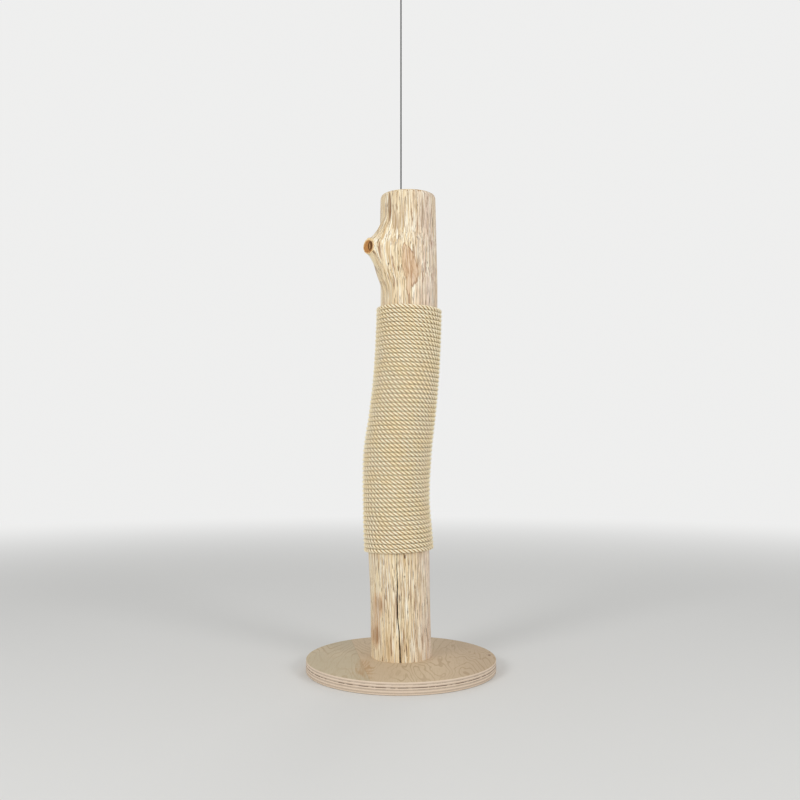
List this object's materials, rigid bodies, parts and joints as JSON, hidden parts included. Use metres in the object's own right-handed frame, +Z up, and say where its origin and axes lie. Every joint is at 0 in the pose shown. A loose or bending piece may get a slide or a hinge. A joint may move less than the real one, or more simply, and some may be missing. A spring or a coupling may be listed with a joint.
{
  "type": "cat scratching post",
  "caption": "Free-standing cat scratching post: debarked natural log on a round plywood base, wound with sisal rope, steadied by a thin cable to a ceiling hook.",
  "frame": {"origin": "middle of the underside of the round base, on the floor", "axes": "+Z up along the log, -Y towards the front as pictured, +X to the right"},
  "size_m": [0.3999, 0.4, 1.5559],
  "materials": {
    "plywood": "sanded, clear matt varnish",
    "log_wood": "debarked and sanded, bare",
    "sisal": "natural sisal fibre, three strands",
    "nail_steel": "bright wire nail",
    "zinc_steel": "zinc plated",
    "stainless_steel": "satin",
    "aluminium_sleeve": "crimped",
    "black_cable": "black plastic over steel wire rope"
  },
  "bodies": {
    "root": {"base_plate": "plywood", "trunk": "log_wood", "rope_lower": "sisal", "rope_middle": "sisal", "rope_upper": "sisal", "rope_nails": "nail_steel", "centre_bolt": "zinc_steel", "centre_washer": "zinc_steel", "base_screws": "zinc_steel", "anchor_plate": "stainless_steel", "anchor_screws": "stainless_steel", "cable_stop": "aluminium_sleeve", "ceiling_cable": "black_cable", "eye_terminal": "stainless_steel", "ceiling_hook": "stainless_steel", "ceiling_rose": "stainless_steel"}
  },
  "joints": []
}
